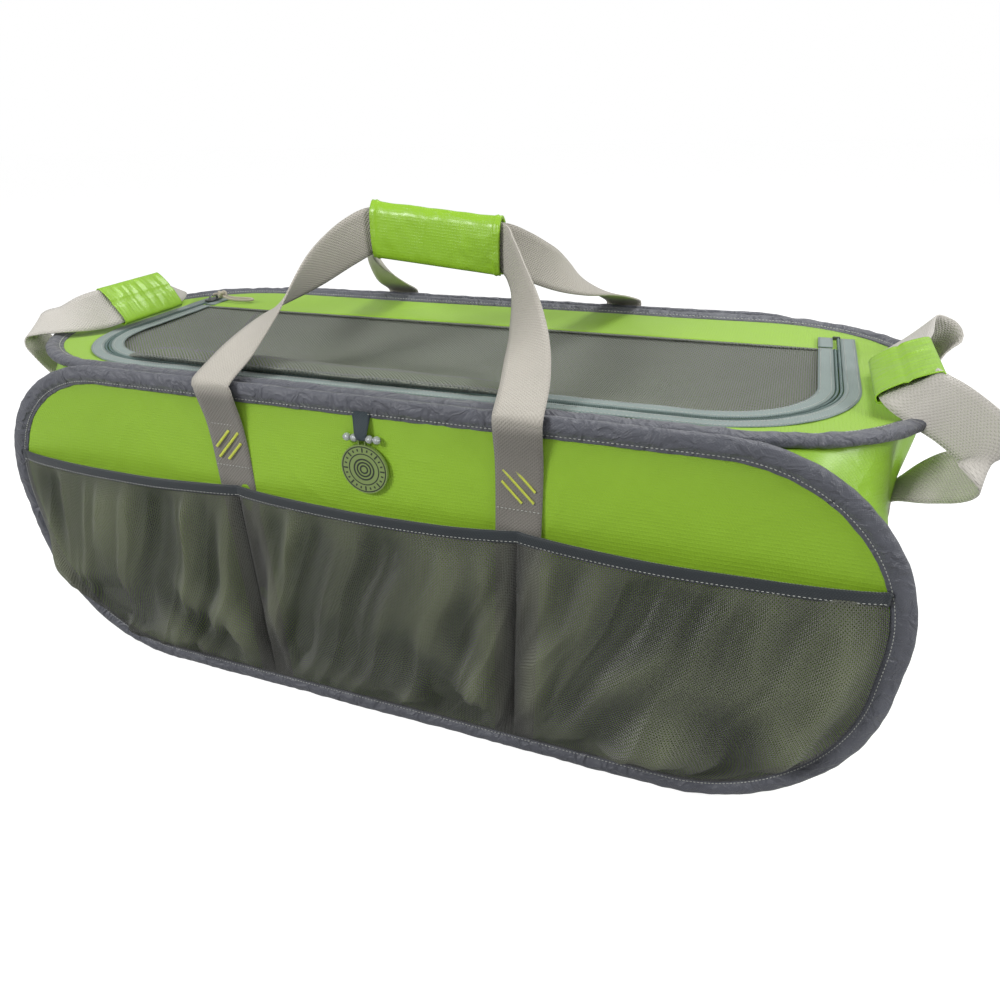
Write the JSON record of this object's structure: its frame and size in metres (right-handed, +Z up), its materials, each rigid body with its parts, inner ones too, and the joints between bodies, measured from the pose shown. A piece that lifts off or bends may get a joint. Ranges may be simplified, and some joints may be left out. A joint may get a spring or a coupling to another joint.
{
  "type": "rope storage bag",
  "caption": "Long pop-up storage bag for rope, held open by spring-steel hoops, with a zipped mesh lid, front mesh pockets and carry handles.",
  "frame": {"origin": "middle of the flat underside, on the surface that the bag stands on", "axes": "+X to the bag's right end, -Y to the pocketed front, +Z up"},
  "size_m": [0.9, 0.4142, 0.4738],
  "materials": {
    "lime_cloth": "coated cloth, satin",
    "hoop_binding": "woven tape, slight sheen",
    "spring_steel": "bright",
    "dark_tape": "woven tape, matte",
    "pocket_mesh": "knitted mesh",
    "webbing": "woven webbing, matte",
    "thread": "polyester thread",
    "zip_tape": "woven zip tape",
    "zip_coil": "moulded coil",
    "zip_metal": "satin enamel",
    "pull_cord": "braided cord",
    "clear_bead": "clear, polished",
    "tag_plastic": "translucent, polished"
  },
  "bodies": {
    "bag": {"front_panel": "lime_cloth", "back_panel": "lime_cloth", "bottom_panel": "lime_cloth", "top_panel": "lime_cloth", "left_end_panel": "lime_cloth", "right_end_panel": "lime_cloth", "front_hoop_binding": "hoop_binding", "back_hoop_binding": "hoop_binding", "top_hoop_binding": "hoop_binding", "bottom_hoop_binding": "hoop_binding", "front_hoop_wire": "spring_steel", "back_hoop_wire": "spring_steel", "top_hoop_wire": "spring_steel", "bottom_hoop_wire": "spring_steel", "hoop_clips": "spring_steel", "edge_seams": "dark_tape", "corner_bar_tacks": "dark_tape", "pocket_left": "pocket_mesh", "pocket_middle": "pocket_mesh", "pocket_right": "pocket_mesh", "pocket_edging": "dark_tape", "front_left_strap": "webbing", "front_right_strap": "webbing", "back_left_strap": "webbing", "back_right_strap": "webbing", "strap_bar_tacks": "thread", "zip_tape_body": "zip_tape", "zip_coil_body": "zip_coil", "zip_end_stops": "zip_coil", "left_handle_tabs": "webbing", "right_handle_tabs": "webbing"},
    "front_carry_handle": {"front_handle": "webbing", "wrap_front": "lime_cloth", "wrap_hook_strips": "dark_tape"},
    "back_carry_handle": {"back_handle": "webbing", "wrap_back": "lime_cloth", "wrap_loop_strips": "dark_tape"},
    "lid": {"lid_mesh": "pocket_mesh", "lid_seam_tape": "hoop_binding", "zip_tape_lid": "zip_tape", "zip_coil_lid": "zip_coil"},
    "slider": {"zip_slider": "zip_metal"},
    "zip_pull": {"zip_pull_cord": "pull_cord", "zip_pull_knot": "pull_cord"},
    "left_end_handle": {"left_handle_webbing": "webbing", "left_handle_sleeve": "lime_cloth"},
    "right_end_handle": {"right_handle_webbing": "webbing", "right_handle_sleeve": "lime_cloth"},
    "badge": {"badge_loop": "dark_tape", "badge_pin": "spring_steel", "badge_beads": "clear_bead", "badge_tag": "tag_plastic"}
  },
  "joints": [
    {"name": "lid_open", "type": "hinge", "parent": "bag", "child": "lid", "pos_m": [0, 0.075, 0.35], "axis": [-1, 0, 0], "range_deg": [0, 100]},
    {"name": "front_handle_drop", "type": "hinge", "parent": "bag", "child": "front_carry_handle", "pos_m": [0, -0.197, 0.3555], "axis": [1, 0, 0], "range_deg": [0, 220]},
    {"name": "back_handle_drop", "type": "hinge", "parent": "bag", "child": "back_carry_handle", "pos_m": [0, 0.197, 0.3555], "axis": [-1, 0, 0], "range_deg": [0, 220]},
    {"name": "zip_slider_travel", "type": "slide", "parent": "bag", "child": "slider", "axis": [0, -1, 0], "range_m": [0, 0.135]},
    {"name": "zip_pull_swing", "type": "hinge", "parent": "slider", "child": "zip_pull", "pos_m": [-0.368, 0.1, 0.3584], "axis": [0, -1, 0], "range_deg": [0, 80]},
    {"name": "left_end_handle_swing", "type": "hinge", "parent": "bag", "child": "left_end_handle", "pos_m": [-0.447, 0, 0.356], "axis": [0, -1, 0], "range_deg": [0, 240]},
    {"name": "right_end_handle_swing", "type": "hinge", "parent": "bag", "child": "right_end_handle", "pos_m": [0.447, 0, 0.356], "axis": [0, 1, 0], "range_deg": [0, 240]},
    {"name": "badge_swing", "type": "hinge", "parent": "bag", "child": "badge", "pos_m": [0.002, -0.1898, 0.3365], "axis": [-1, 0, 0], "range_deg": [0, 60]}
  ],
  "couplings": [
    {"joint": "front_handle_drop", "follows": "lid_open", "ratio": 2.2},
    {"joint": "back_handle_drop", "follows": "lid_open", "ratio": 2.2}
  ]
}
